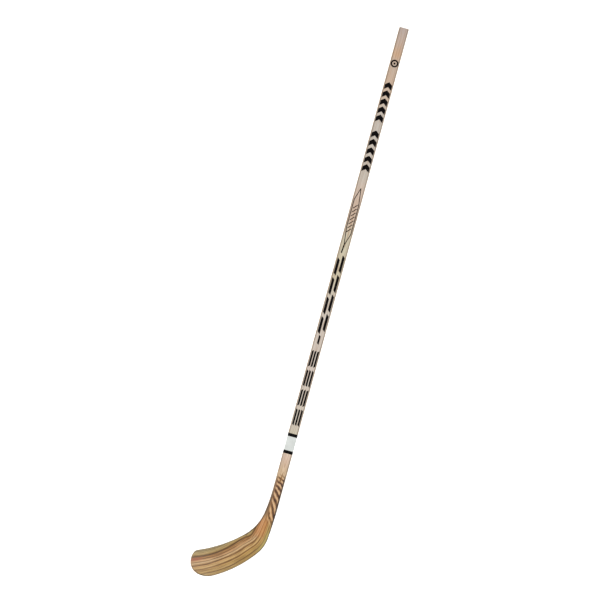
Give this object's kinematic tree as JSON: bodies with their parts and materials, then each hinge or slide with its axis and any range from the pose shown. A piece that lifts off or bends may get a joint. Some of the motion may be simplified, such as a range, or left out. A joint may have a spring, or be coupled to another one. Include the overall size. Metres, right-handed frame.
{
  "type": "ice hockey stick",
  "caption": "Laminated wooden player's ice hockey stick with a curved right-hand blade of bent strips, glued into a slotted rectangular shaft.",
  "frame": {"origin": "bottom centre of the whole stick's box as it lies on its back", "axes": "+Y up the shaft towards the butt, -X towards the blade's toe, +Z out of the concave playing face"},
  "size_m": [0.1982, 1.6336, 0.0654],
  "materials": {
    "shaft_glass": "clear glass-fibre strip under satin varnish, showing pale ash grain",
    "ash": "pale ash with a faint warm figure, satin varnish",
    "core_wood": "plain pale core plies, varnished edges",
    "blade_wood": "golden-brown bent strips with dark glue lines",
    "blade_glass": "clear glass fibre and resin over golden-brown wood, satin gloss",
    "black_film": "black printed film, satin gloss",
    "white_film": "white printed film, satin gloss"
  },
  "bodies": {
    "root": {"shaft_glass_back": "shaft_glass", "shaft_ash_back": "ash", "shaft_core_ply_1": "core_wood", "shaft_core_ply_2": "core_wood", "shaft_core_ply_3": "core_wood", "shaft_core_ply_4": "core_wood", "shaft_core_ply_5": "core_wood", "shaft_ash_front": "ash", "shaft_glass_front": "shaft_glass", "blade_strip_1": "blade_wood", "blade_strip_2": "blade_wood", "blade_strip_3": "blade_wood", "blade_strip_4": "blade_wood", "blade_strip_5": "blade_wood", "blade_strip_6": "blade_wood", "blade_strip_7": "blade_wood", "blade_glass_front": "blade_glass", "blade_glass_back": "blade_glass", "band_black_lower": "black_film", "band_white": "white_film", "band_black_upper": "black_film"}
  },
  "joints": []
}
